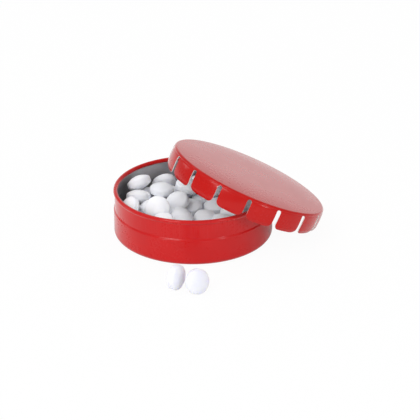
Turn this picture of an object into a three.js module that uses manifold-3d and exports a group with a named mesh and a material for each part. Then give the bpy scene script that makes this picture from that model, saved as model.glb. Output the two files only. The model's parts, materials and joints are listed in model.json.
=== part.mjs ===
// A round click-shut mint tin: a drawn tinplate cup full of tablets, its spring-fingered lid leaning
// on the rim, which stands in one slot and springs its two fingers apart, and two tablets in front.
// Millimetres, +Z up, origin at the centre of the tin's flat underside, front towards -Y.
import * as THREE from "three";
import { mergeVertices } from "three/addons/utils/BufferGeometryUtils.js";
import Module from "manifold-3d";

// Tinplate of the cup and the lid
const SHEET = 0.28;

// Cup
const TIN_RADIUS = 24;
const TIN_HEIGHT = 14.5;
const FOOT_ROUND = 1.6;
const BODY_INSET = 0.05;
const NECK_INSET = 0.35;
const NECK_HEIGHT = 6.2;
const SHOULDER_HEIGHT = 1.3;
const RIM_ROLL = 0.65;
const RIM_FILLET = 0.5;
const RIM_TURN_ANGLE = 295;
const TIN_SIDES = 48;

// Lid
const LID_HEIGHT = 6.5;
const LID_GAP = 0.22;
const LID_BARREL = 0.15;
const LID_CORNER = 0.8;
const PANEL_CROWN = 0.6;
const FINGERS = 16;
const SLOT_WIDTH = 1.3;
const SLOT_TOP = 0.65;
const FINGER_ROUND = 1.7;
const HOOK_HEIGHT = 1;
const HOOK_SET = 0.45;
const SIDES_PER_FINGER = 4;

// The slot at the back that the tin's rim stands in, and how far its fingers are sprung out and in
const RIM_SLOT = 4;
const FINGER_SPRING = 1.65;

// How far the slot cutters reach past the sheet on each side
const CUT_OVER = 2;

// How the open lid leans: centre shift from the tin's axis, tilt, heading of the low side, own turn
const LID_SHIFT_X = 17.05;
const LID_SHIFT_Y = 0.15;
const LID_TILT = 25.2;
const LID_HEADING = 19.1;
const LID_TURN = 0.8;

// Clearance left wherever two pieces rest on each other, and how closely the lid feels for the rim
const REST_GAP = 0.3;
const FEEL_SPACING = 0.4;

// Tablets
const MINT_DIAMETER = 7.5;
const MINT_BAND = 1.7;
const MINT_DOME = 1.3;
const MINT_SIDES = 10;
const MINT_COUNT = 56;
const POUR_SEED = 7;
const POUR_TRIES = 5;
const SHAKE_COUNT = 220;
const HEAP_LEAN_RATIO = 0.12;

// Steps of the fall and reach of the shaking while the tablets are poured
const FALL_STEP = 0.8;
const FALL_FINE = 0.2;
const SHAKE_REACH = 1;

// The two tablets in front of the tin: how far out and to the left the first stands, where the second
// stands from it in shares of a tablet's width, and each one's heading and lean back
const SPILL_FRONT = 13.9;
const SPILL_LEFT = 4.95;
const SECOND_RIGHT_SHARE = 0.8;
const SECOND_FRONT_SHARE = 0.373;
const FIRST_HEADING = 329;
const FIRST_LEAN = 3;
const SECOND_HEADING = 305;
const SECOND_LEAN = 18;

const radians = THREE.MathUtils.degToRad;
const wasm = await Module();
wasm.setup();

// Points along an arc, angles in degrees
function arc(x, y, radius, from, to, steps) {
  const points = [];
  for (let i = 0; i <= steps; i += 1) {
    const angle = radians(from + ((to - from) * i) / steps);
    points.push(new THREE.Vector2(x + radius * Math.cos(angle), y + radius * Math.sin(angle)));
  }
  return points;
}

// Closed section of a sheet that runs along a line of points starting on the axis of turning
function sheetSection(line) {
  const outer = [];
  const inner = [];
  line.forEach((point, i) => {
    const before = line[Math.max(i - 1, 0)];
    const after = line[Math.min(i + 1, line.length - 1)];
    const along = after.clone().sub(before).normalize();
    const across = new THREE.Vector2(along.y, -along.x).multiplyScalar(SHEET / 2);
    outer.push(point.clone().add(across));
    inner.push(point.clone().sub(across));
  });
  outer[0].x = 0;
  inner[0].x = 0;
  return outer.concat(inner.reverse());
}

// One closed skin: shared corners, no faces without area
function closedSkin(geometry) {
  const bare = geometry.clone();
  bare.deleteAttribute("uv");
  bare.deleteAttribute("normal");
  const skin = mergeVertices(bare, 1e-4);
  const corners = skin.index.array;
  const faces = [];
  for (let i = 0; i < corners.length; i += 3) {
    const [a, b, c] = [corners[i], corners[i + 1], corners[i + 2]];
    if (a !== b && b !== c && c !== a) {
      faces.push(a, b, c);
    }
  }
  skin.setIndex(faces);
  return skin;
}

function turned(section, sides) {
  const lathe = new THREE.LatheGeometry(section, sides);
  lathe.rotateX(Math.PI / 2);
  return closedSkin(lathe);
}

function toManifold(skin) {
  return new wasm.Manifold(new wasm.Mesh({
    numProp: 3,
    vertProperties: new Float32Array(skin.attributes.position.array),
    triVerts: new Uint32Array(skin.index.array),
  }));
}

function fromManifold(solid) {
  const mesh = solid.getMesh();
  const skin = new THREE.BufferGeometry();
  skin.setAttribute("position", new THREE.BufferAttribute(mesh.vertProperties, 3));
  skin.setIndex(Array.from(mesh.triVerts));
  return skin;
}

// Cup: flat bottom, rounded foot, body, shoulder, neck and the rim rolled inwards
const bodyLine = TIN_RADIUS - BODY_INSET - SHEET / 2;
const neckLine = TIN_RADIUS - NECK_INSET - SHEET / 2;
const neckInside = neckLine - SHEET / 2;
const rollLine = RIM_ROLL - SHEET / 2;
const rollX = TIN_RADIUS - RIM_ROLL;
const rollZ = TIN_HEIGHT - RIM_ROLL;
const shoulderZ = TIN_HEIGHT - NECK_HEIGHT;
const footLine = FOOT_ROUND - SHEET / 2;

function cupLine() {
  const shoulder = [];
  for (let i = 0; i <= 3; i += 1) {
    const s = i / 3;
    const blend = s * s * (3 - 2 * s);
    const x = THREE.MathUtils.lerp(bodyLine, neckLine, blend);
    shoulder.push(new THREE.Vector2(x, shoulderZ + (s - 0.5) * SHOULDER_HEIGHT));
  }
  const filletX = neckLine + RIM_FILLET;
  const reach = filletX - rollX;
  const filletZ = rollZ - Math.sqrt((RIM_FILLET + rollLine) ** 2 - reach ** 2);
  const meet = THREE.MathUtils.radToDeg(Math.atan2(filletZ - rollZ, reach));
  const fillet = arc(filletX, filletZ, RIM_FILLET, 180, 180 + meet, 2);
  const roll = arc(rollX, rollZ, rollLine, meet, meet + RIM_TURN_ANGLE, 9);
  return [
    new THREE.Vector2(0, SHEET / 2),
    ...arc(bodyLine - footLine, FOOT_ROUND, footLine, -90, 0, 3),
    ...shoulder,
    ...fillet,
    ...roll.slice(1),
  ];
}

const cupSkin = turned(sheetSection(cupLine()), TIN_SIDES);

// Lid in its own frame: panel edge on z = 0, axis +Z, skirt downwards
const skirtTop = TIN_RADIUS + LID_GAP + SHEET / 2 - LID_BARREL / 2;
const skirtMid = skirtTop + LID_BARREL;

function lidLine() {
  const cornerLine = LID_CORNER - SHEET / 2;
  const creaseZ = HOOK_HEIGHT - LID_HEIGHT;
  const edge = skirtTop - cornerLine;
  const line = [new THREE.Vector2(0, PANEL_CROWN - SHEET / 2)];
  const half = edge / 2;
  line.push(new THREE.Vector2(half, PANEL_CROWN * 0.75 - SHEET / 2));
  line.push(...arc(edge, -LID_CORNER, cornerLine, 90, 0, 3));
  line.push(new THREE.Vector2(skirtMid, (creaseZ - LID_CORNER) / 2));
  line.push(new THREE.Vector2(skirtTop, creaseZ));
  line.push(new THREE.Vector2(skirtTop - HOOK_SET * 0.3, creaseZ - HOOK_HEIGHT * 0.5));
  line.push(new THREE.Vector2(skirtTop - HOOK_SET, -LID_HEIGHT));
  return line;
}

// One slot between two fingers, round at its head, with the finger corners rounded at its mouth
function slotCutter(angle) {
  const half = SLOT_WIDTH / 2;
  const mouth = half + FINGER_ROUND;
  const below = -LID_HEIGHT - CUT_OVER;
  const outline = [
    new THREE.Vector2(mouth, below),
    ...arc(mouth, FINGER_ROUND - LID_HEIGHT, FINGER_ROUND, 270, 180, 3),
    ...arc(0, -SLOT_TOP - half, half, 0, 180, 4),
    ...arc(-mouth, FINGER_ROUND - LID_HEIGHT, FINGER_ROUND, 0, -90, 3),
    new THREE.Vector2(-mouth, below),
  ];
  const shape = new THREE.Shape(outline);
  const block = new THREE.ExtrudeGeometry(shape, { depth: 2 * CUT_OVER, bevelEnabled: false });
  block.rotateX(Math.PI / 2);
  block.translate(0, CUT_OVER - skirtTop, 0);
  block.rotateZ(angle + Math.PI / 2);
  return toManifold(closedSkin(block));
}

function cutLid() {
  const pressing = toManifold(turned(sheetSection(lidLine()), FINGERS * SIDES_PER_FINGER));
  const slots = [];
  for (let i = 0; i < FINGERS; i += 1) {
    slots.push(slotCutter((2 * Math.PI * i) / FINGERS));
  }
  return fromManifold(pressing.subtract(wasm.Manifold.union(slots)));
}

// The rim springs the finger on one side of its slot outwards and the one on the other side inwards
function sprung(skin) {
  const places = skin.attributes.position;
  for (let i = 0; i < places.count; i += 1) {
    const point = new THREE.Vector3().fromBufferAttribute(places, i);
    const finger = Math.floor((Math.atan2(point.y, point.x) * FINGERS) / (2 * Math.PI));
    const side = Number(finger === RIM_SLOT - 1) - Number(finger === RIM_SLOT);
    const share = (-SLOT_TOP - point.z) / (LID_HEIGHT - SLOT_TOP);
    if (side !== 0 && share > 0) {
      const bend = (side * FINGER_SPRING * share ** 2 * (3 - share)) / 2;
      const scale = 1 + bend / Math.hypot(point.x, point.y);
      places.setXY(i, point.x * scale, point.y * scale);
    }
  }
  return skin;
}

const lidSkin = sprung(cutLid());

// Points spread over a skin, no further apart than the spacing
function spread(skin, spacing) {
  const places = skin.attributes.position;
  const corners = skin.index.array;
  const points = [];
  for (let i = 0; i < corners.length; i += 3) {
    const a = new THREE.Vector3().fromBufferAttribute(places, corners[i]);
    const ab = new THREE.Vector3().fromBufferAttribute(places, corners[i + 1]).sub(a);
    const ac = new THREE.Vector3().fromBufferAttribute(places, corners[i + 2]).sub(a);
    const steps = Math.ceil(Math.max(ab.length(), ac.length()) / spacing);
    for (let j = 0; j <= steps; j += 1) {
      for (let k = 0; k <= steps - j; k += 1) {
        points.push(a.clone().addScaledVector(ab, j / steps).addScaledVector(ac, k / steps));
      }
    }
  }
  return points;
}

// The leaning lid comes straight down until it is one clearance above the rolled rim
const lidTurn = new THREE.Quaternion()
  .setFromEuler(new THREE.Euler(0, radians(LID_TILT), radians(LID_HEADING), "ZYX"))
  .multiply(new THREE.Quaternion().setFromAxisAngle(new THREE.Vector3(0, 0, 1), radians(LID_TURN)));

function lidRestHeight() {
  const reach = RIM_ROLL + REST_GAP;
  let height = 0;
  for (const point of spread(lidSkin, FEEL_SPACING)) {
    point.applyQuaternion(lidTurn);
    const off = Math.hypot(point.x + LID_SHIFT_X, point.y + LID_SHIFT_Y) - rollX;
    if (Math.abs(off) < reach) {
      height = Math.max(height, rollZ + Math.sqrt(reach ** 2 - off ** 2) - point.z);
    }
  }
  return height;
}

const lidPlace = new THREE.Vector3(LID_SHIFT_X, LID_SHIFT_Y, lidRestHeight());

// Tablet: a short band between two shallow domes
const mintRadius = MINT_DIAMETER / 2;
const domeSphere = (mintRadius ** 2 + MINT_DOME ** 2) / (2 * MINT_DOME);

function halfThickness(off) {
  const inside = Math.min(off, mintRadius);
  return MINT_BAND / 2 + Math.sqrt(domeSphere ** 2 - inside ** 2) - domeSphere + MINT_DOME;
}

function mintSection() {
  const upper = [];
  for (const share of [1, 0.62, 0]) {
    upper.push(new THREE.Vector2(mintRadius * share, halfThickness(mintRadius * share)));
  }
  const lower = upper.map((point) => new THREE.Vector2(point.x, -point.y));
  return lower.reverse().concat(upper);
}

const mintSkin = turned(mintSection(), MINT_SIDES);

// Probe points on a true round tablet, used to feel for contact
function mintProbes() {
  const probes = [];
  for (const share of [1, 0.97, 0.7, 0.35]) {
    const off = mintRadius * share;
    const count = share > 0.9 ? 24 : 10;
    for (let i = 0; i < count; i += 1) {
      const angle = (2 * Math.PI * i) / count;
      for (const side of [-1, 1]) {
        const z = side * halfThickness(off);
        probes.push(new THREE.Vector3(off * Math.cos(angle), off * Math.sin(angle), z));
      }
    }
  }
  probes.push(new THREE.Vector3(0, 0, halfThickness(0)));
  probes.push(new THREE.Vector3(0, 0, -halfThickness(0)));
  return probes;
}

const probes = mintProbes();

// Repeatable pouring: the same seed always gives the same heap
let pourState = POUR_SEED;

function chance() {
  pourState = (pourState * 16807) % 2147483647;
  return pourState / 2147483647;
}

function spreadChance() {
  return chance() + chance() - 1;
}

function placed(centre, turn) {
  return {
    centre,
    turn,
    axis: new THREE.Vector3(0, 0, 1).applyQuaternion(turn),
    skin: probes.map((probe) => probe.clone().applyQuaternion(turn).add(centre)),
  };
}

function insideMint(point, mint) {
  const away = point.clone().sub(mint.centre);
  const along = Math.abs(away.dot(mint.axis));
  const off = Math.sqrt(Math.max(away.lengthSq() - along ** 2, 0));
  return off < mintRadius + REST_GAP && along < halfThickness(off) + REST_GAP;
}

// True where a point is closer to the cup than the clearance
function hitsCup(point) {
  const off = Math.hypot(point.x, point.y);
  const wall = neckInside - REST_GAP;
  const floor = SHEET + REST_GAP;
  const mouth = point.z > rollZ - 2 * RIM_ROLL ? rollX - RIM_ROLL - REST_GAP : wall;
  const round = FOOT_ROUND - SHEET - REST_GAP;
  const outX = off - (wall - round);
  const outZ = floor + round - point.z;
  const corner = outX > 0 && outZ > 0 && Math.hypot(outX, outZ) > round;
  return point.z < floor || off > mouth || corner;
}

function fits(mint, heap) {
  if (mint.skin.some(hitsCup)) {
    return false;
  }
  const near = heap.filter((other) => other.centre.distanceTo(mint.centre) < MINT_DIAMETER + REST_GAP);
  return near.every((other) => !mint.skin.some((point) => insideMint(point, other))
    && !other.skin.some((point) => insideMint(point, mint)));
}

// True where a tablet stays out of the leaning lid
function clearOfLid(mint) {
  const back = lidTurn.clone().invert();
  return mint.skin.every((point) => {
    const local = point.clone().sub(lidPlace).applyQuaternion(back);
    return local.z < -LID_HEIGHT - REST_GAP || Math.hypot(local.x, local.y) > skirtMid + SHEET + REST_GAP;
  });
}

// One tablet falls from the mouth, then shakes down and aside as long as it sinks
function dropped(heap) {
  const angle = 2 * Math.PI * chance();
  const off = (rollX - RIM_ROLL - REST_GAP - mintRadius) * Math.sqrt(chance());
  const start = new THREE.Vector3(off * Math.cos(angle), off * Math.sin(angle), TIN_HEIGHT + MINT_DIAMETER);
  const tilt = new THREE.Euler(0.9 * spreadChance(), 0.9 * spreadChance(), 0);
  let mint = placed(start, new THREE.Quaternion().setFromEuler(tilt));
  for (const step of [FALL_STEP, FALL_FINE]) {
    for (;;) {
      const lower = placed(mint.centre.clone().add(new THREE.Vector3(0, 0, -step)), mint.turn);
      if (!fits(lower, heap)) {
        break;
      }
      mint = lower;
    }
  }
  for (let i = 0; i < SHAKE_COUNT; i += 1) {
    const size = 1 - (0.8 * i) / SHAKE_COUNT;
    const move = new THREE.Vector3(spreadChance(), spreadChance(), -0.4 * chance());
    move.multiplyScalar(size * SHAKE_REACH);
    const roll = new THREE.Euler(0.4 * size * spreadChance(), 0.4 * size * spreadChance(), 0);
    const turn = new THREE.Quaternion().setFromEuler(roll).multiply(mint.turn);
    const shaken = placed(mint.centre.clone().add(move), turn);
    if (fits(shaken, heap)) {
      mint = shaken;
    }
  }
  return mint;
}

// The tin was last shaken towards its open side, so the heap stands a little higher there
function level(mint) {
  return mint.centre.z + HEAP_LEAN_RATIO * mint.centre.x;
}

function pouredHeap() {
  const heap = [];
  for (let i = 0; i < MINT_COUNT; i += 1) {
    let best = null;
    for (let k = 0; k < POUR_TRIES || best === null; k += 1) {
      const mint = dropped(heap);
      if (clearOfLid(mint) && (best === null || level(mint) < level(best))) {
        best = mint;
      }
    }
    heap.push(best);
  }
  return heap;
}

// A tablet stood on its edge on the floor
function stood(x, y, heading, lean) {
  const face = new THREE.Euler(0, radians(90 - lean), radians(heading), "ZYX");
  const turn = new THREE.Quaternion().setFromEuler(face);
  const places = mintSkin.attributes.position;
  let low = 0;
  for (let i = 0; i < places.count; i += 1) {
    low = Math.min(low, new THREE.Vector3().fromBufferAttribute(places, i).applyQuaternion(turn).z);
  }
  return { centre: new THREE.Vector3(x, y, -low), turn };
}

// The object
const lacquer = new THREE.MeshStandardMaterial({ color: 0xc21418, roughness: 0.3, metalness: 0.2 });
lacquer.name = "red_lacquer";
const sugar = new THREE.MeshStandardMaterial({ color: 0xeeeef0, roughness: 0.8 });
sugar.name = "pressed_sugar";

const dispenser = new THREE.Group();
dispenser.name = "candy_dispenser";

function addPiece(name, skin, material, place, turn) {
  const piece = new THREE.Mesh(skin, material);
  piece.name = name;
  piece.position.copy(place);
  piece.quaternion.copy(turn);
  dispenser.add(piece);
}

addPiece("base_tin", cupSkin, lacquer, new THREE.Vector3(), new THREE.Quaternion());
addPiece("lid", lidSkin, lacquer, lidPlace, lidTurn);
pouredHeap().forEach((mint, i) => {
  addPiece(`mint_${String(i + 1).padStart(2, "0")}`, mintSkin, sugar, mint.centre, mint.turn);
});
const firstX = -SPILL_LEFT;
const firstY = -TIN_RADIUS - SPILL_FRONT;
const secondX = firstX + SECOND_RIGHT_SHARE * MINT_DIAMETER;
const secondY = firstY - SECOND_FRONT_SHARE * MINT_DIAMETER;
const spilled = [
  stood(firstX, firstY, FIRST_HEADING, FIRST_LEAN),
  stood(secondX, secondY, SECOND_HEADING, SECOND_LEAN),
];
spilled.forEach((mint, i) => {
  addPiece(`spilled_mint_${i + 1}`, mintSkin, sugar, mint.centre, mint.turn);
});

export default dispenser;
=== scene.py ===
import json
import math
import random

import bpy
import numpy as np
from mathutils import Matrix, Vector


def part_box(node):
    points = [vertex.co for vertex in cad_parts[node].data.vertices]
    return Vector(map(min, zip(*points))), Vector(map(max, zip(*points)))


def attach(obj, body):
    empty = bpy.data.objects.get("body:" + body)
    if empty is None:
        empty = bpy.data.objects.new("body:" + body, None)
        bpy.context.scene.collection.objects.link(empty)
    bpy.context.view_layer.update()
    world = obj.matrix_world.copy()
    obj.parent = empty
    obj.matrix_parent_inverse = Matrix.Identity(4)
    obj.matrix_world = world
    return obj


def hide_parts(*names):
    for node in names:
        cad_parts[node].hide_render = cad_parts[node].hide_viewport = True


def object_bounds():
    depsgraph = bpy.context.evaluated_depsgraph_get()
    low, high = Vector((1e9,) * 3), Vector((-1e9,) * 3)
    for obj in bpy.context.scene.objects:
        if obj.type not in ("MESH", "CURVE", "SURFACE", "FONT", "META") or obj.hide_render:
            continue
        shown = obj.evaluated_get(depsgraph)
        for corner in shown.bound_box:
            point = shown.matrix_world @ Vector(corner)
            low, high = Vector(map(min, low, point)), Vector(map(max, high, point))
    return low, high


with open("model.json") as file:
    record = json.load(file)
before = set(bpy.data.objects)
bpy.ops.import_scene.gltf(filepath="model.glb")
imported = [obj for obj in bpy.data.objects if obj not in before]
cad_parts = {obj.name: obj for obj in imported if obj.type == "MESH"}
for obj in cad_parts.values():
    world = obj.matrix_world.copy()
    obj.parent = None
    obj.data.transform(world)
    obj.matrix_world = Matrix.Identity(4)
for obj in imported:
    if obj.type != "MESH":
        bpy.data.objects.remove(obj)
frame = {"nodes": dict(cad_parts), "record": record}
cad_low, cad_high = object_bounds()


# Base tin: a shallow cup drawn from one disc of tinplate, lacquered red outside, bare inside.
# A soft shoulder steps the wall in to make the neck that takes the lid, and the top edge is curled
# inwards into a rolled rim, so the red coat runs over the roll and the grey metal starts below it.
MM = 0.001
_, tin_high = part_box("base_tin")
TIN_RADIUS = tin_high.x
TIN_HEIGHT = tin_high.z
SHEET = 0.28 * MM
FOOT_ROUND = 1.6 * MM
BODY_INSET = 0.05 * MM
NECK_INSET = 0.35 * MM
NECK_HEIGHT = 6.2 * MM
SHOULDER_HEIGHT = 1.3 * MM
SHOULDER_STEP = 0.7 * MM
SHOULDER_ROWS = 20
RIM_ROLL = 0.65 * MM
RIM_FILLET = 0.5 * MM
RIM_TURN = 295
TIN_COLUMNS = 224
ON_AXIS = 1e-9
RIM_WEAR = 0.55
RIM_WEAR_BAND = 0.16 * MM
FOOT_WEAR = 0.6
FOOT_WEAR_AT = 0.2 * MM
FOOT_WEAR_BAND = 0.2 * MM
LACQUER_RED = (0.562, 0.0075, 0.0075, 1)
LACQUER_DEEP = (0.532, 0.006, 0.0065, 1)
LACQUER_IOR = 1.25
LACQUER_RELIEF = 0.03 * MM
CLEAR_ROUGHNESS = 0.12
SCUFF_PINK = (0.75, 0.42, 0.40, 1)
PLATE_LIGHT = (0.57, 0.57, 0.58, 1)
PLATE_DARK = (0.42, 0.42, 0.43, 1)
PLATE_RELIEF = 0.01 * MM
DUST_WHITE = (0.86, 0.86, 0.88, 1)
DUST_GRAIN = (1300, 1300, 1300)
DUST_TOP = 11 * MM
DUST_BOTTOM = 2 * MM


def arc_line(x, z, radius, start, end, steps):
    angles = np.radians(np.linspace(start, end, steps + 1))
    return np.c_[x + radius * np.cos(angles), z + radius * np.sin(angles)]


def straight_line(start, end, steps):
    share = np.linspace(0, 1, steps + 1)[:, None]
    return (1 - share) * np.array(start) + share * np.array(end)


def line_normals(line):
    """Directions to the right of a line, in its plane."""
    steps = np.diff(line, axis=0)
    steps /= np.linalg.norm(steps, axis=1)[:, None]
    along = np.vstack([steps[:1], steps[:-1] + steps[1:], steps[-1:]])
    along /= np.linalg.norm(along, axis=1)[:, None]
    return np.c_[along[:, 1], -along[:, 0]]


def tin_line():
    """Middle of the sheet, from the centre of the floor to the end of the rolled rim."""
    body = TIN_RADIUS - BODY_INSET - SHEET / 2
    neck = TIN_RADIUS - NECK_INSET - SHEET / 2
    foot = FOOT_ROUND - SHEET / 2
    roll = RIM_ROLL - SHEET / 2
    roll_x, roll_z = TIN_RADIUS - RIM_ROLL, TIN_HEIGHT - RIM_ROLL
    low = TIN_HEIGHT - NECK_HEIGHT - SHOULDER_HEIGHT / 2
    share = np.linspace(0, 1, SHOULDER_ROWS + 1)
    step = np.clip((share - 0.5) * SHOULDER_HEIGHT / SHOULDER_STEP + 0.5, 0, 1)
    blend = step * step * (3 - 2 * step)
    shoulder = np.c_[body + (neck - body) * blend, low + SHOULDER_HEIGHT * share]
    fillet_x = neck + RIM_FILLET
    reach = fillet_x - roll_x
    fillet_z = roll_z - math.sqrt((RIM_FILLET + roll) ** 2 - reach ** 2)
    meet = math.degrees(math.atan2(fillet_z - roll_z, reach))
    return np.vstack([
        straight_line((0, SHEET / 2), (body - foot, SHEET / 2), steps=16)[:-1],
        arc_line(body - foot, FOOT_ROUND, foot, -90, 0, steps=12)[:-1],
        straight_line((body, FOOT_ROUND), (body, low), steps=10)[:-1],
        shoulder[:-1],
        straight_line((neck, low + SHOULDER_HEIGHT), (neck, fillet_z), steps=8)[:-1],
        arc_line(fillet_x, fillet_z, RIM_FILLET, 180, 180 + meet, steps=6)[:-1],
        arc_line(roll_x, roll_z, roll, meet, meet + RIM_TURN, steps=40),
    ])


def placed(name, data):
    """A new object of the scene that holds a mesh, a lamp or a camera."""
    thing = bpy.data.objects.new(name, data)
    bpy.context.scene.collection.objects.link(thing)
    return thing


def keep_places(mesh):
    """Stores where each point lies in the piece's own frame, for the marks on its surface."""
    places = np.zeros(len(mesh.vertices) * 3, np.float32)
    mesh.vertices.foreach_get("co", places)
    mesh.attributes.new("place", "FLOAT_VECTOR", "POINT").data.foreach_set("vector", places)


def turned_piece(name, section, columns, slot_of_row, values):
    """A closed section turned about the Z axis, with numbers for each point of the section."""
    angles = np.linspace(0, 2 * math.pi, columns, endpoint=False)
    places, rings, source = [], [], []
    for row, (x, z) in enumerate(section):
        ring_angles = angles if x > ON_AXIS else angles[:1]
        rings.append(np.arange(len(places), len(places) + len(ring_angles)))
        places.extend((x * math.cos(a), x * math.sin(a), z) for a in ring_angles)
        source.extend([row] * len(ring_angles))
    faces, slots = [], []
    for row in range(len(section) - 1):
        lower, upper = rings[row], rings[row + 1]
        for j in range(columns):
            k = (j + 1) % columns
            if len(lower) == 1:
                faces.append((lower[0], upper[k], upper[j]))
            elif len(upper) == 1:
                faces.append((lower[j], lower[k], upper[0]))
            else:
                faces.append((lower[j], lower[k], upper[k], upper[j]))
            slots.append(slot_of_row(row))
    mesh = bpy.data.meshes.new(name)
    mesh.from_pydata(places, [], [tuple(int(i) for i in face) for face in faces])
    mesh.polygons.foreach_set("material_index", slots)
    mesh.polygons.foreach_set("use_smooth", [True] * len(faces))
    for label, numbers in values.items():
        layer = mesh.attributes.new(label, "FLOAT", "POINT")
        layer.data.foreach_set("value", np.asarray(numbers, np.float32)[source])
    return placed(name, mesh)


def feed(tree, socket, value):
    """Links a socket to another one, or sets it to a plain value."""
    if isinstance(value, bpy.types.NodeSocket):
        tree.links.new(value, socket)
    else:
        socket.default_value = value


def feed_all(tree, node, wires):
    """Feeds each wire to the input of that name."""
    for label, value in wires.items():
        feed(tree, node.inputs[label.replace("_", " ")], value)


def put(tree, kind, settings=(), **wires):
    """Adds a node with its settings and its wires."""
    node = tree.nodes.new(kind)
    for label, value in dict(settings).items():
        setattr(node, label, value)
    feed_all(tree, node, wires)
    return node


def stored(tree, label):
    """What the mesh keeps under a name for each of its points."""
    return put(tree, "ShaderNodeAttribute", {"attribute_name": label}).outputs


def grain(tree, coordinates, stretch, detail=2.0):
    """Noise over stretched coordinates; its marks run long along the least stretched axis."""
    spread = put(tree, "ShaderNodeMapping", Vector=coordinates, Scale=stretch).outputs[0]
    return put(tree, "ShaderNodeTexNoise", Vector=spread, Scale=1.0, Detail=detail).outputs[0]


def ranged(tree, value, low, high, to_low=0.0, to_high=1.0):
    """A value brought from one range into another, and held inside it."""
    made = put(tree, "ShaderNodeMapRange", Value=value, From_Min=low, From_Max=high,
               To_Min=to_low, To_Max=to_high)
    return made.outputs[0]


def marks(tree, coordinates, stretch, low, high, detail=2.0):
    """Noise cut between two levels, from no mark at the low one to a full mark at the high one."""
    return ranged(tree, grain(tree, coordinates, stretch, detail), low, high)


def reckon(tree, sign, first, second):
    node = put(tree, "ShaderNodeMath", {"operation": sign})
    feed(tree, node.inputs[0], first)
    feed(tree, node.inputs[1], second)
    return node.outputs[0]


def summed(tree, start, *parts):
    """A value with other values added to it, each times its own weight."""
    for value, weight in parts:
        start = reckon(tree, "ADD", start, reckon(tree, "MULTIPLY", value, weight))
    return start


def tinted(tree, share, first, second):
    """A colour between two colours."""
    node = put(tree, "ShaderNodeMix", {"data_type": "RGBA"})
    for index, value in ((0, share), (6, first), (7, second)):
        feed(tree, node.inputs[index], value)
    return node.outputs[2]


def raised(tree, height, depth, strength=1.0):
    """A surface direction with fine relief."""
    return put(tree, "ShaderNodeBump", Height=height, Distance=depth, Strength=strength).outputs[0]


def effect_group(name, inputs, outputs):
    """An empty shader node group with its named inputs and outputs."""
    tree = bpy.data.node_groups.new(name, "ShaderNodeTree")
    for label, kind, value in inputs:
        tree.interface.new_socket(label, in_out="INPUT", socket_type=kind).default_value = value
    for label, kind in outputs:
        tree.interface.new_socket(label, in_out="OUTPUT", socket_type=kind)
    return tree, tree.nodes.new("NodeGroupInput").outputs, tree.nodes.new("NodeGroupOutput")


# Shared finish of the lacquered outsides: an uneven coat, faint rings from the drawing tool,
# a few hairline scuffs, and bare metal where edges have rubbed through.
CLOUD_GRAIN = (95, 95, 95)
PEEL_GRAIN = (1500, 1500, 1500)
WAVE_GRAIN = (130, 130, 130)
RING_GRAIN = (45, 45, 2300)
PATCH_GRAIN = (210, 210, 210)
HAIR_GRAIN = (900, 160, 2600)
STREAK_GRAIN = (2600, 2600, 110)
BREAK_GRAIN = (620, 620, 620)
MARK_TINT = 0.02

lacquer_coat, coat_in, coat_out = effect_group(
    "lacquer_coat",
    [("Place", "NodeSocketVector", (0, 0, 0)),
     ("Colour", "NodeSocketColor", LACQUER_RED),
     ("Deep Colour", "NodeSocketColor", LACQUER_DEEP),
     ("Metal Colour", "NodeSocketColor", PLATE_LIGHT),
     ("Wear", "NodeSocketFloat", 0.0), ("Rub", "NodeSocketFloat", 0.0)],
    [("Colour", "NodeSocketColor"), ("Roughness", "NodeSocketFloat"),
     ("Metal", "NodeSocketFloat"), ("Height", "NodeSocketFloat")])
at = coat_in["Place"]
clouds = marks(lacquer_coat, at, CLOUD_GRAIN, low=0.36, high=0.66, detail=3)
peel = grain(lacquer_coat, at, PEEL_GRAIN)
waves = grain(lacquer_coat, at, WAVE_GRAIN, detail=1)
rings = grain(lacquer_coat, at, RING_GRAIN)
patches = marks(lacquer_coat, at, PATCH_GRAIN, low=0.5, high=0.68)
hairs = marks(lacquer_coat, at, HAIR_GRAIN, low=0.66, high=0.74)
scuffs = reckon(lacquer_coat, "MULTIPLY", hairs, patches)
streaks = marks(lacquer_coat, at, STREAK_GRAIN, low=0.52, high=0.72)
rubbed = reckon(lacquer_coat, "MULTIPLY", streaks, coat_in["Rub"])
broken = grain(lacquer_coat, at, BREAK_GRAIN, detail=4)
broken = ranged(lacquer_coat, broken, 0.3, 0.7, to_low=-0.45, to_high=0.55)
worn = ranged(lacquer_coat, reckon(lacquer_coat, "ADD", coat_in["Wear"], broken), 0.95, 1.25)
colour = tinted(lacquer_coat, clouds, coat_in["Colour"], coat_in["Deep Colour"])
for pale in (scuffs, rubbed):
    share = reckon(lacquer_coat, "MULTIPLY", pale, MARK_TINT)
    colour = tinted(lacquer_coat, share, colour, SCUFF_PINK)
roughness = ranged(lacquer_coat, peel, 0.3, 0.7, to_low=0.25, to_high=0.28)
height = reckon(lacquer_coat, "MULTIPLY", peel, 0.004)
feed_all(lacquer_coat, coat_out, {
    "Colour": tinted(lacquer_coat, worn, colour, coat_in["Metal Colour"]),
    "Roughness": summed(lacquer_coat, roughness, (clouds, 0.04), (scuffs, 0.05), (rubbed, 0.06)),
    "Metal": worn,
    "Height": summed(lacquer_coat, height, (waves, 0.5), (rings, 0.03), (scuffs, -0.02))})

# Shared finish of plain tinplate: fine rolling lines in the steel under a dull film.
ROLLING_GRAIN = (70, 2100, 2100)
FILM_GRAIN = (150, 150, 150)

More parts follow.
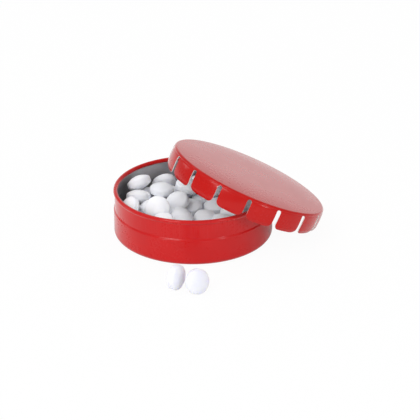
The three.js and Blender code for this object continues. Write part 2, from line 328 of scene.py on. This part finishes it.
rolled_plate, plate_in, plate_out = effect_group(
    "rolled_plate",
    [("Place", "NodeSocketVector", (0, 0, 0)),
     ("Light Colour", "NodeSocketColor", PLATE_LIGHT),
     ("Dark Colour", "NodeSocketColor", PLATE_DARK)],
    [("Colour", "NodeSocketColor"), ("Roughness", "NodeSocketFloat"),
     ("Height", "NodeSocketFloat")])
at = plate_in["Place"]
lines = grain(rolled_plate, at, ROLLING_GRAIN, detail=3)
dull = marks(rolled_plate, at, FILM_GRAIN, low=0.35, high=0.68, detail=4)
shade = reckon(rolled_plate, "MULTIPLY", reckon(rolled_plate, "ADD", lines, dull), 0.5)
feed_all(rolled_plate, plate_out, {
    "Colour": tinted(rolled_plate, shade, plate_in["Light Colour"], plate_in["Dark Colour"]),
    "Roughness": ranged(rolled_plate, shade, 0.2, 0.8, to_low=0.30, to_high=0.48),
    "Height": lines})


def effect(tree, group, **wires):
    return put(tree, "ShaderNodeGroup", {"node_tree": group}, **wires).outputs


def finish_material(name):
    """A new material with its tree and its one surface shader."""
    material = bpy.data.materials.new(name)
    material.use_nodes = True
    return material, material.node_tree, material.node_tree.nodes["Principled BSDF"]


def red_lacquer(name, colour, deep):
    """Red stoving lacquer on tinplate, glossy under a thin clear layer."""
    material, tree, skin = finish_material(name)
    coat = effect(tree, lacquer_coat, Place=stored(tree, "place")["Vector"], Colour=colour,
                  Deep_Colour=deep, Wear=stored(tree, "wear")["Fac"],
                  Rub=stored(tree, "rub")["Fac"])
    feed_all(tree, skin, {
        "Base Color": coat["Colour"], "Roughness": coat["Roughness"], "Metallic": coat["Metal"],
        "Normal": raised(tree, coat["Height"], LACQUER_RELIEF), "IOR": LACQUER_IOR,
        "Coat Weight": 1.0, "Coat IOR": LACQUER_IOR, "Coat Roughness": CLEAR_ROUGHNESS})
    return material


def rolled_sheet(name, light, dark, metal, dusty):
    """Tinplate that shows its rolling lines, bare or under a thin lining. Where it is dusty,
    sugar from the tablets clings to it low down."""
    material, tree, skin = finish_material(name)
    at = stored(tree, "place")["Vector"]
    plate = effect(tree, rolled_plate, Place=at, Light_Colour=light, Dark_Colour=dark)
    colour, roughness = plate["Colour"], plate["Roughness"]
    if dusty:
        level = put(tree, "ShaderNodeSeparateXYZ", Vector=at).outputs["Z"]
        low = ranged(tree, level, DUST_TOP, DUST_BOTTOM, to_low=-0.35, to_high=0.12)
        specks = grain(tree, at, DUST_GRAIN, detail=4)
        dust = ranged(tree, reckon(tree, "ADD", specks, low), 0.5, 0.66)
        colour = tinted(tree, dust, colour, DUST_WHITE)
        roughness = summed(tree, roughness, (dust, 0.4))
        metal = ranged(tree, dust, 0, 1, to_low=metal, to_high=0)
    feed_all(tree, skin, {
        "Base Color": colour, "Roughness": roughness, "Metallic": metal,
        "Normal": raised(tree, plate["Height"], PLATE_RELIEF, strength=0.5)})
    return material


def worn_band(level, centre, band):
    """Wear that fades away on both sides of a level."""
    return np.exp(-((level - centre) / band) ** 2)


middle = tin_line()
across = line_normals(middle) * SHEET / 2
outside, inside = middle + across, (middle - across)[::-1]
tin_section = np.vstack([outside, inside])
tin_section[[0, -1], 0] = 0
rows_out = len(outside)
reach, level = tin_section.T
is_out = np.arange(len(tin_section)) < rows_out
rim_wear = worn_band(level, TIN_HEIGHT, RIM_WEAR_BAND) * (reach > TIN_RADIUS - RIM_ROLL)
foot_wear = worn_band(level, FOOT_WEAR_AT, FOOT_WEAR_BAND) * (reach > TIN_RADIUS - FOOT_ROUND)
neck_rub = np.clip((level - (TIN_HEIGHT - NECK_HEIGHT)) / MM, 0, 1)
neck_rub *= np.clip((TIN_HEIGHT - level) / MM, 0, 1)
base_tin = turned_piece(
    "tin_cup", tin_section, TIN_COLUMNS, lambda row: 0 if row < rows_out - 1 else 1,
    {"wear": (RIM_WEAR * rim_wear + FOOT_WEAR * foot_wear) * is_out, "rub": neck_rub * is_out})
keep_places(base_tin.data)
for finish in (
        red_lacquer("red_lacquer_tin", LACQUER_RED, LACQUER_DEEP),
        rolled_sheet("bare_plate_tin", PLATE_LIGHT, PLATE_DARK, metal=1.0, dusty=True)):
    base_tin.data.materials.append(finish)
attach(base_tin, "tin")
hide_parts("base_tin")


# Tablets: white pressed sugar, domed on both faces with a short straight band between, poured in
# loose. The press leaves a fine grain and the drop from it leaves small chips round the shoulders.
MINT_RADIUS = 3.75 * MM
MINT_BAND = 1.7 * MM
MINT_DOME = 1.3 * MM
MINT_SHOULDER = 0.75 * MM
MINT_COLUMNS = 64
MINT_SEED = 411
UNEVEN_LOBES = (2, 3, 5)
UNEVEN_DEPTH = 0.016 * MM
CHIP_COUNT = (2, 5)
CHIP_WIDTH_MM = (0.25, 0.6)
CHIP_DEPTH_MM = (0.05, 0.2)
CHIP_REACH = MINT_RADIUS * 0.96
CHIP_LEVEL = MINT_BAND / 2 - 0.1 * MM
SUGAR_WHITE = (0.945, 0.960, 1.000, 1)
SUGAR_GREY = (0.930, 0.946, 0.996, 1)
PIT_PAINTED_SHADE = (0.85, 0.865, 0.92, 1)
CRUMB_GRAIN = (2600, 2600, 2600)
FILLER_GRAIN = (420, 420, 420)
PITS_PER_METRE = 1500.0
SUGAR_RELIEF = 0.035 * MM
SUGAR_IOR = 1.4
LIGHT_REACH = 3.5 * MM
LIGHT_REACH_RGB = (1.0, 1.0, 0.8)
CLEAN_THROUGH = 0.25


def tablet_section():
    """Half section of a tablet, from the middle of the lower face to the middle of the upper."""
    sphere = (MINT_RADIUS ** 2 + MINT_DOME ** 2) / (2 * MINT_DOME)
    centre = MINT_BAND / 2 + MINT_DOME - sphere
    round_x = MINT_RADIUS - MINT_SHOULDER
    round_z = centre + math.sqrt((sphere - MINT_SHOULDER) ** 2 - round_x ** 2)
    meet = math.degrees(math.atan2(round_z - centre, round_x))
    upper = np.vstack([
        straight_line((MINT_RADIUS, 0), (MINT_RADIUS, round_z), steps=2)[:-1],
        arc_line(round_x, round_z, MINT_SHOULDER, 0, meet, steps=7)[:-1],
        arc_line(0, centre, sphere, meet, 90, steps=9),
    ])
    upper[-1, 0] = 0
    return np.vstack([(upper * (1, -1))[:0:-1], upper])


def tablet_pose(node):
    """Centre and axis of a packed tablet: its axis is the direction in which it is thinnest."""
    corners = np.array([v.co for v in frame["nodes"][node].data.vertices])
    corners = np.unique(np.round(corners, 7), axis=0)
    centre = corners.mean(0)
    axis = np.linalg.eigh(np.cov((corners - centre).T))[1][:, 0]
    return Vector(centre), Vector(axis)


def pressed_sugar(name, white, grey, through):
    """Dry white sugar with a fine grain and small pits, and a share of light passing through."""
    material, tree, skin = finish_material(name)
    at = put(tree, "ShaderNodeTexCoord").outputs["Object"]
    crumbs = grain(tree, at, CRUMB_GRAIN, detail=3)
    filler = marks(tree, at, FILLER_GRAIN, low=0.38, high=0.68, detail=3)
    cells = put(tree, "ShaderNodeTexVoronoi", Vector=at, Scale=PITS_PER_METRE)
    around_pits = ranged(tree, cells.outputs["Distance"], 0.08, 0.24)
    sugar = tinted(tree, filler, white, grey)
    # Painted shade: the sugar is tinted grey where the relief dips into the pits.
    pit_shade = ranged(tree, around_pits, 0, 1, to_low=0.25, to_high=0)
    height = summed(tree, crumbs, (around_pits, 0.5))
    feed_all(tree, skin, {
        "Base Color": tinted(tree, pit_shade, sugar, PIT_PAINTED_SHADE),
        "Roughness": ranged(tree, crumbs, 0.3, 0.7, to_low=0.62, to_high=0.86),
        "Normal": raised(tree, height, SUGAR_RELIEF, strength=0.6), "IOR": SUGAR_IOR,
        "Subsurface Weight": through, "Subsurface Radius": LIGHT_REACH_RGB,
        "Subsurface Scale": LIGHT_REACH})
    return material


mint_section = tablet_section()
clean_sugar = pressed_sugar("pressed_sugar", SUGAR_WHITE, SUGAR_GREY, CLEAN_THROUGH)
chance = random.Random(MINT_SEED)


def tablet(name, node, body, finish):
    """One tablet in the place of a packed one, with its own slight unevenness and chips."""
    piece = turned_piece(name, mint_section, MINT_COLUMNS, lambda row: 0, {})
    count = len(piece.data.vertices)
    places = np.zeros(count * 3)
    piece.data.vertices.foreach_get("co", places)
    places = places.reshape(-1, 3)
    angle = np.arctan2(places[:, 1], places[:, 0])
    out = np.hypot(places[:, 0], places[:, 1]) / MINT_RADIUS
    sunk = np.zeros(count)
    for lobes in UNEVEN_LOBES:
        start = chance.uniform(0, 2 * math.pi)
        sunk += (1 + np.sin(lobes * angle + start)) * out * UNEVEN_DEPTH
    for _ in range(chance.randint(*CHIP_COUNT)):
        where, side = chance.uniform(-math.pi, math.pi), chance.choice((-1, 1))
        wide, deep = chance.uniform(*CHIP_WIDTH_MM) * MM, chance.uniform(*CHIP_DEPTH_MM) * MM
        spot = np.array([CHIP_REACH * math.cos(where), CHIP_REACH * math.sin(where),
                         side * CHIP_LEVEL])
        sunk += deep * np.exp(-(((places - spot) ** 2).sum(1) / wide ** 2))
    outwards = places / np.linalg.norm(places, axis=1)[:, None]
    places -= outwards * sunk[:, None]
    centre, axis = tablet_pose(node)
    turn = Vector((0, 0, 1)).rotation_difference(axis).to_matrix()
    turn = turn @ Matrix.Rotation(chance.uniform(0, 2 * math.pi), 3, "Z")
    places = places @ np.array(turn).T + np.array(centre)
    piece.data.vertices.foreach_set("co", places.ravel())
    piece.data.update()
    piece.data.materials.append(finish)
    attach(piece, body)
    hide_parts(node)


bodies = frame["record"]["behaviour"]["bodies"]
body_of_node = {node: body for body, nodes in bodies.items() for node in nodes}


def all_tablets(start, finish):
    """Every tablet whose packed name starts in one way."""
    for node in sorted(name for name in frame["nodes"] if name.startswith(start)):
        tablet(node.replace("mint", "tablet"), node, body_of_node[node], finish)


all_tablets("mint_", clean_sugar)


# Spilled tablets: two of the same tablets, standing on their edges on the floor before the tin.
# Their white is painted a little darker than that of the tablets in the tin, as painted shade for
# the stronger light on the open floor, and more light passes through them.
# Painted shade: a darker copy of the tablets' white, for the stronger light on the floor.
SPILLED_WHITE_PAINTED_SHADE = (0.795, 0.806, 0.884, 1)
SPILLED_GREY_PAINTED_SHADE = (0.780, 0.791, 0.870, 1)
SPILLED_THROUGH = 1.0

all_tablets("spilled_mint_", pressed_sugar("pressed_sugar_spilled_painted_shade", SPILLED_WHITE_PAINTED_SHADE, SPILLED_GREY_PAINTED_SHADE,
                                           SPILLED_THROUGH))


# Lid: one pressing of the same tinplate, lacquered red outside and lined with a pale coat inside.
# Its red is painted darker than the tin's as painted shade, and its pale lining and cut edges are
# partly painted reflection of the white tablets under the lid.
# Its short skirt is slotted into sixteen springy fingers, which bend at a fine groove, barrel out
# and turn in at the tips to snap under the tin's rim. The panel above them is faintly crowned.
LID_HEIGHT = 6.5 * MM
LID_GAP = 0.22 * MM
LID_BARREL = 0.15 * MM
LID_CORNER = 0.8 * MM
GROOVE_DOWN = 0.78 * MM
GROOVE_REACH = 0.2 * MM
GROOVE_DEPTH = 0.12 * MM
PANEL_CROWN = 0.6 * MM
PANEL_SWEEP = 3.5
PANEL_ROWS = 18
PANEL_ROW_SPREAD = 0.8
FINGERS = 16
FINGER_COLUMNS = 22
FINGER_ROWS = 8
SLOT_HALF = 0.65 * MM
SLOT_TOP = 0.65 * MM
SLOT_HEAD_ROWS = 6
FINGER_ROUND = 1.7 * MM
FINGER_ROUND_ROWS = 11
HOOK_HEIGHT = 1 * MM
HOOK_SET = 0.45 * MM
HOOK_CURL = 1.2
CREASE_ROWS = np.array([0.12, 0.04, -0.04, -0.12]) * MM
RIM_SLOT = 4
FINGER_SPRING = 1.65 * MM
FINGER_UNEVEN_MM = 0.06
FINGER_TUCK = 0.05 * MM
FINGER_SEED = 29
EDGE_WEAR = 0.5
EDGE_WEAR_BAND = 0.16 * MM
CORNER_WEAR = 0.35
CORNER_WEAR_AT = -0.4 * MM
CORNER_WEAR_BAND = 0.3 * MM
EASED_EDGE = 0.05 * MM
EASED_ANGLE = math.radians(50)
LID_TILT = math.radians(25.2)
LID_HEADING = math.radians(19.1)
LID_TURN = math.radians(0.8)
# Painted shade: the lid's red is the tin's lacquer painted darker, for the stronger light on its
# top.
LID_RED_PAINTED_SHADE = (0.495, 0.003, 0.001, 1)
LID_DEEP_PAINTED_SHADE = (0.475, 0.0025, 0.001, 1)
# The lining's pale cream is partly a real lining and partly painted reflection of the white
# tablets
# under the lid; the cut edges use it too, painted pale in place of bare steel.
LINING_LIGHT_AND_PAINTED_REFLECTION = (0.93, 0.915, 0.885, 1)
LINING_DARK_AND_PAINTED_REFLECTION = (0.88, 0.865, 0.835, 1)

skirt_top = TIN_RADIUS + LID_GAP + SHEET / 2 - LID_BARREL / 2
corner_line = LID_CORNER - SHEET / 2
panel_edge = skirt_top - corner_line
crease = HOOK_HEIGHT - LID_HEIGHT


def groove(z):
    """Depth of the fine groove rolled round the skirt under the corner."""
    return GROOVE_DEPTH * math.exp(-((z + GROOVE_DOWN) / GROOVE_REACH) ** 2)


def skirt_radius(z):
    """Middle of the sheet of a finger, from the corner down to its turned-in tip."""
    if z > -LID_CORNER:
        out = math.sqrt(max(corner_line ** 2 - (z + LID_CORNER) ** 2, 0))
        return panel_edge + out - groove(z)
    half = (-LID_CORNER - crease) / 2
    if z >= crease:
        return skirt_top + LID_BARREL * (1 - ((z - crease - half) / half) ** 2) - groove(z)
    lean = 2 * LID_BARREL / half * HOOK_HEIGHT
    down = (crease - z) / HOOK_HEIGHT
    return skirt_top - lean * down - (HOOK_SET - lean) * down ** HOOK_CURL


def lid_rows():
    """Rows of the pressing from the centre to the tips: radius, level, half width of the slot."""
    rows = []
    for radius in np.linspace(0, 1, PANEL_ROWS + 1)[:-1] ** PANEL_ROW_SPREAD * panel_edge:
        crown = PANEL_CROWN * (1 - (radius / panel_edge) ** PANEL_SWEEP)
        rows.append((radius, crown - SHEET / 2, 0.0))
    slot_angle = math.degrees(math.asin((LID_CORNER - SLOT_TOP) / corner_line))
    for x, z in arc_line(panel_edge, -LID_CORNER, corner_line, 90, slot_angle, steps=12):
        rows.append((x - groove(z), z, 0.0))
    for a in np.radians(np.linspace(0, 90, SLOT_HEAD_ROWS + 1)[1:]):
        z = -SLOT_TOP - SLOT_HALF * (1 - math.cos(a))
        rows.append((skirt_radius(z), z, SLOT_HALF * math.sin(a)))
    mouth = FINGER_ROUND - LID_HEIGHT
    for z in np.linspace(-SLOT_TOP - SLOT_HALF, mouth, FINGER_ROWS + 1)[1:]:
        rows.append((skirt_radius(z), z, SLOT_HALF))
    rounding = np.radians(np.linspace(0, 90, FINGER_ROUND_ROWS + 1)[1:])
    levels = np.concatenate([mouth - FINGER_ROUND * np.sin(rounding), crease + CREASE_ROWS])
    for z in sorted(levels, reverse=True):
        drop = min((mouth - z) / FINGER_ROUND, 1)
        slot = SLOT_HALF + FINGER_ROUND * (1 - math.sqrt(1 - drop ** 2))
        rows.append((skirt_radius(z), z, slot))
    return np.array(rows)


def lid_wear(z, to_side):
    """Wear along the cut edges and over the corner of the panel."""
    edge = worn_band(min(to_side, LID_HEIGHT + z), 0, EDGE_WEAR_BAND)
    corner = worn_band(z, CORNER_WEAR_AT, CORNER_WEAR_BAND)
    return max(EDGE_WEAR * edge, CORNER_WEAR * corner)


def lid_sheet():
    """Points, outward directions, wear and faces of the middle of the sheet."""
    rows = lid_rows()
    outward = -line_normals(rows[:, :2])
    spring = random.Random(FINGER_SEED)
    bend = [spring.uniform(-FINGER_UNEVEN_MM, FINGER_UNEVEN_MM) * MM for _ in range(FINGERS)]
    bend[RIM_SLOT - 1:RIM_SLOT + 1] = FINGER_SPRING, -FINGER_SPRING
    sector = 2 * math.pi / FINGERS
    points, normals, wear, index = [], [], [], {}
    for i, (radius, z, slot) in enumerate(rows):
        gap = math.asin(slot / radius) if slot > 0 else 0.0
        depth = max(0.0, (-z - SLOT_TOP) / (LID_HEIGHT - SLOT_TOP))
        for k in range(FINGERS):
            for j in range(FINGER_COLUMNS + 1):
                finger, column = k, j
                if radius < ON_AXIS:
                    finger, column = 0, 0
                elif slot == 0 and j == FINGER_COLUMNS:
                    finger, column = (k + 1) % FINGERS, 0
                if (i, finger, column) not in index:
                    share = column / FINGER_COLUMNS
                    angle = finger * sector + gap + (sector - 2 * gap) * share
                    # A finger bends like a strip held at one end, and its sides are tucked in.
                    tuck = FINGER_TUCK * min(depth * 3, 1) * (2 * share - 1) ** 4
                    far = radius + bend[finger] * depth ** 2 * (3 - depth) / 2 - tuck
                    points.append((far * math.cos(angle), far * math.sin(angle), z))
                    nr, nz = outward[i]
                    normals.append((nr * math.cos(angle), nr * math.sin(angle), nz))
                    to_side = min(share, 1 - share) * sector * radius if slot > 0 else 1.0
                    wear.append(lid_wear(z, to_side))
                    index[i, finger, column] = len(points) - 1
                index[i, k, j] = index[i, finger, column]
    faces = []
    for i in range(len(rows) - 1):
        for k in range(FINGERS):
            for j in range(FINGER_COLUMNS):
                corners = ((i, j), (i + 1, j), (i + 1, j + 1), (i, j + 1))
                quad = [index[row, k, column] for row, column in corners]
                faces.append(tuple(dict.fromkeys(quad)))
    return np.array(points), np.array(normals), wear, faces


def thick_sheet(name, points, normals, wear, faces):
    """A sheet with an outside, an inside and cut edges, each with a material slot of its own."""
    count = len(points)
    places = np.vstack([points + normals * SHEET / 2, points - normals * SHEET / 2])
    inner = [tuple(i + count for i in reversed(face)) for face in faces]
    sides = {(a, b) for face in faces for a, b in zip(face, face[1:] + face[:1])}
    cut = sorted((b, a, a + count, b + count) for a, b in sides if (b, a) not in sides)
    slots = [0] * len(faces) + [1] * len(inner) + [2] * len(cut)
    mesh = bpy.data.meshes.new(name)
    mesh.from_pydata(places.tolist(), [], faces + inner + cut)
    mesh.polygons.foreach_set("material_index", slots)
    mesh.polygons.foreach_set("use_smooth", [True] * len(slots))
    mesh.attributes.new("wear", "FLOAT", "POINT").data.foreach_set("value", wear + wear)
    cut_lines = {tuple(sorted(pair)) for a, b, c, d in cut for pair in ((a, b), (c, d))}
    for line in mesh.edges:
        line.use_edge_sharp = tuple(sorted(line.vertices)) in cut_lines
    return placed(name, mesh)


def lid_pose():
    """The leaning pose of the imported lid, from its angles and the reach of its panel."""
    turn = (Matrix.Rotation(LID_HEADING, 3, "Z") @ Matrix.Rotation(LID_TILT, 3, "Y")
            @ Matrix.Rotation(LID_TURN, 3, "Z"))
    corners = np.array([v.co for v in frame["nodes"]["lid"].data.vertices]) @ np.array(turn)
    top = corners[:, 2].max() - PANEL_CROWN
    panel = corners[corners[:, 2] > top - SLOT_TOP / 2]
    low, high = panel.min(0), panel.max(0)
    centre = Vector(((low[0] + high[0]) / 2, (low[1] + high[1]) / 2, top))
    return Matrix.Translation(turn @ centre) @ turn.to_4x4()


lid = thick_sheet("lid_pressing", *lid_sheet())
for finish in (
        red_lacquer("red_lacquer_lid_painted_shade", LID_RED_PAINTED_SHADE, LID_DEEP_PAINTED_SHADE),
        rolled_sheet("pale_lining_and_painted_reflection_lid", LINING_LIGHT_AND_PAINTED_REFLECTION, LINING_DARK_AND_PAINTED_REFLECTION, metal=0.0, dusty=False),
        rolled_sheet("cut_edge_painted_light_lid", LINING_LIGHT_AND_PAINTED_REFLECTION, LINING_DARK_AND_PAINTED_REFLECTION, metal=0.1, dusty=False)):
    lid.data.materials.append(finish)
keep_places(lid.data)
lid.data.transform(lid_pose())
eased = lid.modifiers.new("eased_edges", "BEVEL")
eased.width = EASED_EDGE
eased.segments = 2
eased.limit_method = "ANGLE"
eased.angle_limit = EASED_ANGLE
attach(lid, "lid")
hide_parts("lid")


# Studio: a wide pale floor under a plain white surround, which shiny surfaces see darker in front.
# A soft key lamp and a smaller one stand at the front left, with a small low one for highlights,
# and further lamps stand at the left, above and at the right.
FLOOR_SIZE = 4.0
FLOOR_CLEAR = 0.02 * MM
FLOOR_WHITE = (0.92, 0.92, 0.92, 1)
FLOOR_GLOSS = 0.25
FLOOR_SEEN = 0.95
PURE_WHITE = (1, 1, 1, 1)
SURROUND_LIGHT = 0.74
SURROUND_SEEN = 1.0
FRONT_GLOSS = 0.40
REAR_GLOSS = 1.0
GLOSS_FROM = 0.4
GLOSS_TO = 0.95
GLOSS_DROP = 0.9
LAMP_AIM = Vector((0, 0, 0.01))


def shiny_ray(tree, path):
    """One where a ray comes from a shiny or clear surface."""
    return reckon(tree, "MAXIMUM", path["Is Glossy Ray"], path["Is Transmission Ray"])


lowest = min(cad_low.z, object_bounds()[0].z)
half = FLOOR_SIZE / 2
floor_corners = [(-half, -half, 0), (half, -half, 0), (half, half, 0), (-half, half, 0)]
floor_mesh = bpy.data.meshes.new("floor")
floor_mesh.from_pydata(floor_corners, [], [(0, 1, 2, 3)])
floor = placed("floor", floor_mesh)
floor.location.z = lowest - FLOOR_CLEAR
floor_finish, tree, skin = finish_material("pale_floor")
tree.nodes.remove(skin)
path = put(tree, "ShaderNodeLightPath").outputs
shiny = reckon(tree, "MULTIPLY", shiny_ray(tree, path), FLOOR_GLOSS)
seen = reckon(tree, "MAXIMUM", path["Is Camera Ray"], shiny)
matt = put(tree, "ShaderNodeBsdfDiffuse", Color=FLOOR_WHITE)
glow = put(tree, "ShaderNodeEmission", Color=PURE_WHITE, Strength=1.0)
both = put(tree, "ShaderNodeMixShader", Fac=reckon(tree, "MULTIPLY", seen, FLOOR_SEEN))
tree.links.new(matt.outputs[0], both.inputs[1])
tree.links.new(glow.outputs[0], both.inputs[2])
tree.links.new(both.outputs[0], tree.nodes["Material Output"].inputs["Surface"])
floor_mesh.materials.append(floor_finish)

surround = bpy.data.worlds.new("surround")
bpy.context.scene.world = surround
surround.use_nodes = True
tree = surround.node_tree
towards = put(tree, "ShaderNodeTexCoord").outputs["Generated"]
towards = put(tree, "ShaderNodeSeparateXYZ", Vector=towards).outputs
rearward = summed(tree, towards["Y"], (towards["Z"], -GLOSS_DROP))
gloss = ranged(tree, rearward, GLOSS_FROM, GLOSS_TO, to_low=FRONT_GLOSS - SURROUND_LIGHT,
               to_high=REAR_GLOSS - SURROUND_LIGHT)
path = put(tree, "ShaderNodeLightPath").outputs
strength = reckon(tree, "MULTIPLY", shiny_ray(tree, path), gloss)
strength = summed(tree, strength, (path["Is Camera Ray"], SURROUND_SEEN - SURROUND_LIGHT))
strength = reckon(tree, "ADD", strength, SURROUND_LIGHT)
feed_all(tree, tree.nodes["Background"], {"Color": PURE_WHITE, "Strength": strength})

for name, place, size, power in (
        ("key_lamp", (-0.46, -0.62, 0.74), 0.45, 2.4),
        ("front_lamp", (-0.42, -0.76, 0.50), 0.24, 0.7),
        ("side_lamp", (-0.58, -0.73, 0.36), 0.07, 0.6),
        ("left_lamp", (-0.90, 0.28, 0.34), 0.22, 0.35),
        ("top_lamp", (-0.25, 0.40, 0.95), 0.40, 0.6),
        ("fill_lamp", (0.70, -0.82, 0.42), 0.14, 1.35)):
    lamp = bpy.data.lights.new(name, "AREA")
    lamp.shape = "SQUARE"
    lamp.size = size
    lamp.energy = power
    holder = placed(name, lamp)
    holder.location = place
    holder.rotation_euler = (LAMP_AIM - Vector(place)).to_track_quat("-Z", "Y").to_euler()


# Camera: the photograph's viewpoint, a long lens a little above the tin, aimed so that the tin
# stands where it stands in the picture.
CAMERA_AWAY = 0.600
CAMERA_LIFT = math.radians(25.82)
CAMERA_NEAR = 0.01
SENSOR_WIDTH = 36
FOCAL_PIXELS = 1977.85
PICTURE_WIDTH = 420
TIN_AT = (193.2, 230.5)

camera_data = bpy.data.cameras.new("camera")
camera_data.sensor_width = SENSOR_WIDTH
camera_data.lens = SENSOR_WIDTH * FOCAL_PIXELS / PICTURE_WIDTH
camera_data.clip_start = CAMERA_NEAR
camera = placed("camera", camera_data)
back, rise = math.cos(CAMERA_LIFT), math.sin(CAMERA_LIFT)
camera.location = (0, -CAMERA_AWAY * back, CAMERA_AWAY * rise)
right = (PICTURE_WIDTH / 2 - TIN_AT[0]) / FOCAL_PIXELS * CAMERA_AWAY
up = (TIN_AT[1] - PICTURE_WIDTH / 2) / FOCAL_PIXELS * CAMERA_AWAY
aim = Vector((right, 0, 0)) + Vector((0, rise, back)) * up
camera.rotation_euler = (aim - camera.location).to_track_quat("-Z", "Y").to_euler()
bpy.context.scene.camera = camera
bpy.context.scene.view_settings.view_transform = "Standard"
